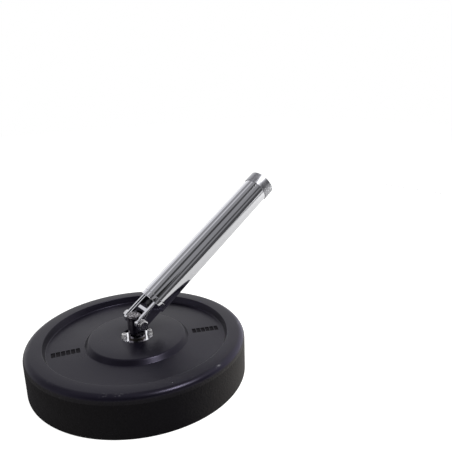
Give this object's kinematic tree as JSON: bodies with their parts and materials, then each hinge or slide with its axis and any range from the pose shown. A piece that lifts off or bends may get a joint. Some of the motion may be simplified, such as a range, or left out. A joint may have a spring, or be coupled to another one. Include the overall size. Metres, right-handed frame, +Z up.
{
  "type": "barbell pivot base",
  "caption": "Heavy round rubber floor plate with a swivelling, hinged chrome sleeve that holds one end of a bar.",
  "frame": {"origin": "centre of the underside, on the swivel axis, at floor level", "axes": "+Z up along the swivel axis, +X the way the sleeve points at rest, Y along the hinge bolt"},
  "size_m": [0.5981, 0.45, 0.3786],
  "materials": {
    "black_rubber": "matt moulded crumb rubber",
    "plain_steel": "plain turned steel",
    "chrome": "polished chrome plate",
    "dark_chrome": "darker polished chrome plate",
    "satin_steel": "satin turned steel",
    "bright_zinc": "bright zinc plate",
    "blackened_steel": "black oxide",
    "bearing_bronze": "oiled bearing bronze",
    "black_nylon": "matt nylon"
  },
  "bodies": {
    "base": {"rubber_plate": "black_rubber", "hub_insert": "plain_steel", "swivel_housing": "chrome", "housing_screw_left": "bright_zinc", "housing_screw_right": "bright_zinc", "housing_washer_left": "bright_zinc", "housing_washer_right": "bright_zinc", "housing_lock_washer_left": "bright_zinc", "housing_lock_washer_right": "bright_zinc", "upper_bush": "bearing_bronze", "lower_bush": "bearing_bronze", "bottom_cover": "plain_steel", "cover_screw_1": "bright_zinc", "cover_screw_2": "bright_zinc", "cover_screw_3": "bright_zinc", "cover_screw_4": "bright_zinc"},
    "swivel": {"swivel_post": "dark_chrome", "spindle_washer": "bright_zinc", "spindle_nut": "bright_zinc", "hinge_bush_near": "bearing_bronze", "hinge_bush_far": "bearing_bronze"},
    "sleeve": {"fork": "chrome", "sleeve_tube": "chrome", "mouth_ring": "satin_steel", "bar_stop": "black_nylon", "stop_washer": "bright_zinc", "stop_bolt": "blackened_steel", "stop_nut": "blackened_steel", "hinge_bolt": "bright_zinc", "hinge_washer_near": "bright_zinc", "hinge_washer_far": "bright_zinc", "hinge_nut": "bright_zinc"}
  },
  "joints": [
    {"name": "base_swivel", "type": "hinge", "parent": "base", "child": "swivel", "pos_m": [0, 0, 0.08], "axis": [0, 0, 1], "continuous": true},
    {"name": "sleeve_hinge", "type": "hinge", "parent": "swivel", "child": "sleeve", "pos_m": [0, 0, 0.112], "axis": [0, -1, 0], "range_deg": [-32, 143.8]}
  ]
}
